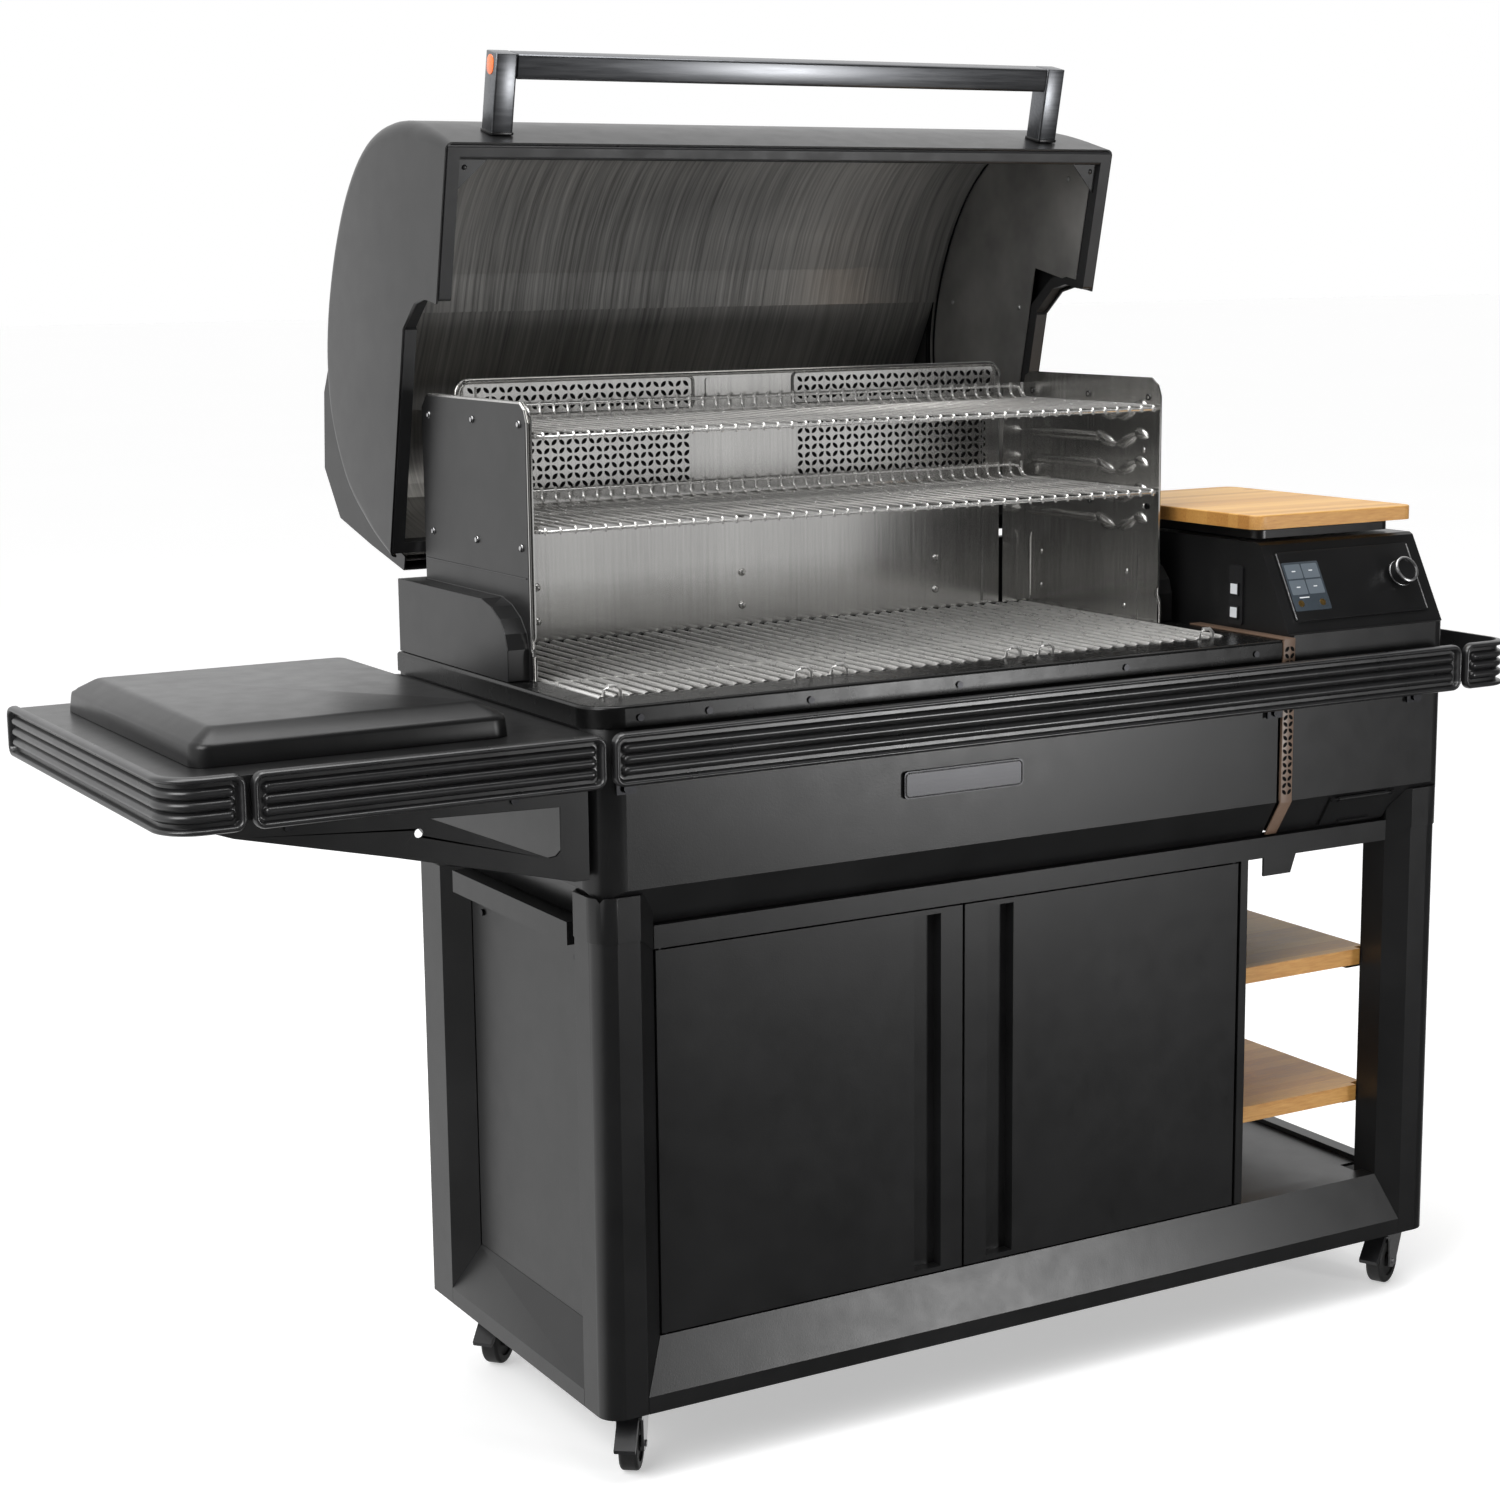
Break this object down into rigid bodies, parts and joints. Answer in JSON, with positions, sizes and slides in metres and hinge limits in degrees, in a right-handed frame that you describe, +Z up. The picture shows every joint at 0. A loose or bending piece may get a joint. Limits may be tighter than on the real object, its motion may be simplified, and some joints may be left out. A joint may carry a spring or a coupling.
{
  "type": "pellet smoker grill",
  "caption": "Pellet smoker grill with an open lid, wire racks, side hopper and controller, ribbed rails and a cabinet cart on casters.",
  "frame": {"origin": "on the ground below the middle of the overall bounding box, with the lid open", "axes": "+X from the side shelf to the pellet hopper, +Y from the doors to the back, +Z up"},
  "size_m": [1.803, 0.8578, 1.6095],
  "materials": {
    "black_powder": "fine matte textured powder coat",
    "black_enamel": "glossy enamel",
    "stainless": "brushed",
    "bright_wire": "bright plated",
    "graphite": "satin",
    "gunmetal": "satin metallic",
    "bronze": "satin",
    "bamboo": "oiled strips",
    "rubber": "matte",
    "plastic": "fine grain",
    "screen": "glossy",
    "black_glass": "polished",
    "gasket": "satin",
    "iron": "dull",
    "zinc": "zinc plated"
  },
  "bodies": {
    "base": {"corner_posts": "black_powder", "frame_rails": "black_powder", "floor_plate": "black_powder", "cabinet_panels": "black_powder", "bamboo_shelves": "bamboo", "barrel_shell": "black_powder", "chamber_flange": "black_enamel", "upper_frame": "black_powder", "side_liners": "stainless", "chamber_back_wall": "stainless", "heat_baffle": "iron", "drip_tray": "iron", "fire_pot": "iron", "auger_tube": "zinc", "auger_motor": "plastic", "fan_housing": "plastic", "hopper_housing": "black_powder", "control_panel": "plastic", "display_screen": "screen", "probe_dock": "plastic", "power_inlet": "plastic", "accent_strap": "bronze", "ribbed_rails": "graphite", "side_shelf": "black_powder", "cooktop_glass": "black_glass", "shelf_brackets": "black_powder", "badge_plate": "stainless", "clips_and_screws": "zinc", "hinge_brackets": "black_powder"},
    "lid": {"lid_shell": "black_powder", "lid_liner": "stainless", "lid_gasket": "gasket", "lid_handle": "gunmetal"},
    "door_left": {"left_door": "black_powder"},
    "door_right": {"right_door": "black_powder"},
    "rack_upper": {"upper_rack": "bright_wire"},
    "rack_middle": {"middle_rack": "bright_wire"},
    "grate_left": {"left_grate": "iron"},
    "grate_middle": {"middle_grate": "iron"},
    "grate_right": {"right_grate": "iron"},
    "keg": {"ash_keg": "iron"},
    "auger": {"auger_screw": "zinc"},
    "fan": {"fan_rotor": "plastic"},
    "knob": {"control_knob": "plastic"},
    "lid_hopper": {"hopper_lid": "black_powder"},
    "board": {"cutting_board": "bamboo"},
    "door_cleanout": {"cleanout_door": "black_powder"},
    "cover": {"cooktop_cover": "black_powder"},
    "front_left_swivel": {"front_left_fork": "zinc"},
    "front_left_roller": {"front_left_wheel": "rubber"},
    "front_left_pedal": {"front_left_brake": "plastic"},
    "front_right_swivel": {"front_right_fork": "zinc"},
    "front_right_roller": {"front_right_wheel": "rubber"},
    "front_right_pedal": {"front_right_brake": "plastic"},
    "rear_left_swivel": {"rear_left_fork": "zinc"},
    "rear_left_roller": {"rear_left_wheel": "rubber"},
    "rear_left_pedal": {"rear_left_brake": "plastic"},
    "rear_right_swivel": {"rear_right_fork": "zinc"},
    "rear_right_roller": {"rear_right_wheel": "rubber"},
    "rear_right_pedal": {"rear_right_brake": "plastic"}
  },
  "joints": [
    {"name": "lid_hinge", "type": "hinge", "parent": "base", "child": "lid", "pos_m": [0.065, 0.16211, 0.981], "axis": [1, 0, 0], "range_deg": [0, 77.3]},
    {"name": "left_door_hinge", "type": "hinge", "parent": "base", "child": "door_left", "pos_m": [-0.325, -0.36639, 0.39], "axis": [0, 0, -1], "range_deg": [0, 110]},
    {"name": "right_door_hinge", "type": "hinge", "parent": "base", "child": "door_right", "pos_m": [0.4905, -0.36639, 0.39], "axis": [0, 0, 1], "range_deg": [0, 110]},
    {"name": "upper_rack_slide", "type": "slide", "parent": "base", "child": "rack_upper", "axis": [0, 1, 0], "range_m": [-0.2, 0]},
    {"name": "middle_rack_slide", "type": "slide", "parent": "base", "child": "rack_middle", "axis": [0, 1, 0], "range_m": [-0.2, 0]},
    {"name": "left_grate_lift", "type": "slide", "parent": "base", "child": "grate_left", "axis": [0, 0, 1], "range_m": [0, 0.1]},
    {"name": "middle_grate_lift", "type": "slide", "parent": "base", "child": "grate_middle", "axis": [0, 0, 1], "range_m": [0, 0.1]},
    {"name": "right_grate_lift", "type": "slide", "parent": "base", "child": "grate_right", "axis": [0, 0, 1], "range_m": [0, 0.1]},
    {"name": "keg_slide", "type": "slide", "parent": "base", "child": "keg", "axis": [0, -1, 0], "range_m": [0, 0.075]},
    {"name": "auger_spin", "type": "hinge", "parent": "base", "child": "auger", "pos_m": [0.3885, -0.12089, 0.716], "axis": [1, 0, 0], "continuous": true},
    {"name": "fan_spin", "type": "hinge", "parent": "base", "child": "fan", "pos_m": [0.6885, 0.04911, 0.716], "axis": [0, 1, 0], "continuous": true},
    {"name": "knob_turn", "type": "hinge", "parent": "base", "child": "knob", "pos_m": [0.7655, -0.36351, 0.96365], "axis": [0, -0.8791, 0.4765], "continuous": true},
    {"name": "hopper_lid_hinge", "type": "hinge", "parent": "base", "child": "lid_hopper", "pos_m": [0.6865, 0.05211, 1.018], "axis": [-1, 0, 0], "range_deg": [0, 75]},
    {"name": "board_lift", "type": "slide", "parent": "lid_hopper", "child": "board", "axis": [0, 0, 1], "range_m": [0, 0.06]},
    {"name": "cleanout_hinge", "type": "hinge", "parent": "base", "child": "door_cleanout", "pos_m": [0.682, -0.39082, 0.68323], "axis": [-1, 0, 0], "range_deg": [0, 95]},
    {"name": "cover_lift", "type": "slide", "parent": "base", "child": "cover", "axis": [0, 0, 1], "range_m": [0, 0.12]},
    {"name": "front_left_swivel_turn", "type": "hinge", "parent": "base", "child": "front_left_swivel", "pos_m": [-0.3455, -0.32689, 0.06], "axis": [0, 0, 1], "continuous": true},
    {"name": "front_left_wheel_roll", "type": "hinge", "parent": "front_left_swivel", "child": "front_left_roller", "pos_m": [-0.35874, -0.34446, 0.031], "axis": [0.7986, -0.6018, 0], "continuous": true},
    {"name": "front_left_brake_press", "type": "hinge", "parent": "front_left_swivel", "child": "front_left_pedal", "pos_m": [-0.36957, -0.35884, 0.0688], "axis": [0.7986, -0.6018, 0], "range_deg": [-12, 0]},
    {"name": "front_right_swivel_turn", "type": "hinge", "parent": "base", "child": "front_right_swivel", "pos_m": [0.7975, -0.33789, 0.06], "axis": [0, 0, 1], "continuous": true},
    {"name": "front_right_wheel_roll", "type": "hinge", "parent": "front_right_swivel", "child": "front_right_roller", "pos_m": [0.77773, -0.34754, 0.031], "axis": [0.4384, -0.8988, 0], "continuous": true},
    {"name": "front_right_brake_press", "type": "hinge", "parent": "front_right_swivel", "child": "front_right_pedal", "pos_m": [0.76155, -0.35543, 0.0688], "axis": [0.4384, -0.8988, 0], "range_deg": [-12, 0]},
    {"name": "rear_left_swivel_turn", "type": "hinge", "parent": "base", "child": "rear_left_swivel", "pos_m": [-0.3415, 0.03511, 0.06], "axis": [0, 0, 1], "continuous": true},
    {"name": "rear_left_wheel_roll", "type": "hinge", "parent": "rear_left_swivel", "child": "rear_left_roller", "pos_m": [-0.3581, 0.02067, 0.031], "axis": [0.6561, -0.7547, 0], "continuous": true},
    {"name": "rear_left_brake_press", "type": "hinge", "parent": "rear_left_swivel", "child": "rear_left_pedal", "pos_m": [-0.37169, 0.00886, 0.0688], "axis": [0.6561, -0.7547, 0], "range_deg": [-12, 0]},
    {"name": "rear_right_swivel_turn", "type": "hinge", "parent": "base", "child": "rear_right_swivel", "pos_m": [0.7885, 0.04111, 0.06], "axis": [0, 0, 1], "continuous": true},
    {"name": "rear_right_wheel_roll", "type": "hinge", "parent": "rear_right_swivel", "child": "rear_right_roller", "pos_m": [0.76873, 0.03146, 0.031], "axis": [0.4384, -0.8988, 0], "continuous": true},
    {"name": "rear_right_brake_press", "type": "hinge", "parent": "rear_right_swivel", "child": "rear_right_pedal", "pos_m": [0.75255, 0.02357, 0.0688], "axis": [0.4384, -0.8988, 0], "range_deg": [-12, 0]}
  ]
}
